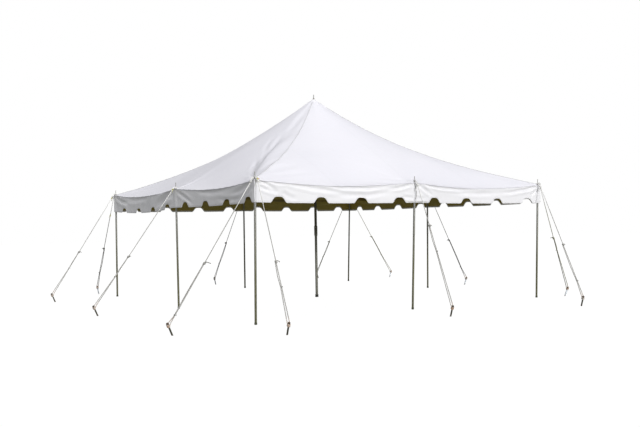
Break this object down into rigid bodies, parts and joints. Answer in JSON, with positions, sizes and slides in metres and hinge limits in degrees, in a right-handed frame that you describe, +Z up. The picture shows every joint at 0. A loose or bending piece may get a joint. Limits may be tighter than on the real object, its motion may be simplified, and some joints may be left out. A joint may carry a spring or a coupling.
{
  "type": "square pole marquee tent",
  "caption": "White square marquee: a peaked canopy with a scalloped valance on a centre pole and side poles, held out by guy ropes tied to leaning steel stakes.",
  "frame": {"origin": "ground level under the centre pole", "axes": "+Z up; -Y towards the front side; +X to the right for someone who faces the front"},
  "size_m": [9.2129, 9.1586, 4.02],
  "materials": {
    "canopy_vinyl": "white vinyl-coated polyester, satin",
    "galvanised_steel": "weathered galvanised tube, dull",
    "black_rubber": "matt",
    "white_rope": "braided polyester, slightly soiled",
    "stake_steel": "dark forged steel, scuffed and rusty at the head"
  },
  "bodies": {
    "root": {"roof_front": "canopy_vinyl", "roof_right": "canopy_vinyl", "roof_back": "canopy_vinyl", "roof_left": "canopy_vinyl", "valance_front": "canopy_vinyl", "valance_right": "canopy_vinyl", "valance_back": "canopy_vinyl", "valance_left": "canopy_vinyl", "peak_patch": "canopy_vinyl", "pole_front_left": "galvanised_steel", "pole_front_middle": "galvanised_steel", "pole_front_right": "galvanised_steel", "pole_right_middle": "galvanised_steel", "pole_back_right": "galvanised_steel", "pole_back_middle": "galvanised_steel", "pole_back_left": "galvanised_steel", "pole_left_middle": "galvanised_steel", "centre_pole_foot": "black_rubber", "centre_pole_lower": "galvanised_steel", "centre_pole_sleeve": "galvanised_steel", "centre_pole_upper": "galvanised_steel", "centre_pole_pin": "galvanised_steel", "guy_front_left_a": "white_rope", "guy_front_left_b": "white_rope", "guy_front_middle": "white_rope", "guy_front_right_a": "white_rope", "guy_front_right_b": "white_rope", "guy_right_middle": "white_rope", "guy_back_right_a": "white_rope", "guy_back_right_b": "white_rope", "guy_back_middle": "white_rope", "guy_back_left_a": "white_rope", "guy_back_left_b": "white_rope", "guy_left_middle": "white_rope", "stake_front_left_a": "stake_steel", "stake_front_left_b": "stake_steel", "stake_front_middle": "stake_steel", "stake_front_right_a": "stake_steel", "stake_front_right_b": "stake_steel", "stake_right_middle": "stake_steel", "stake_back_right_a": "stake_steel", "stake_back_right_b": "stake_steel", "stake_back_middle": "stake_steel", "stake_back_left_a": "stake_steel", "stake_back_left_b": "stake_steel", "stake_left_middle": "stake_steel"}
  },
  "joints": []
}
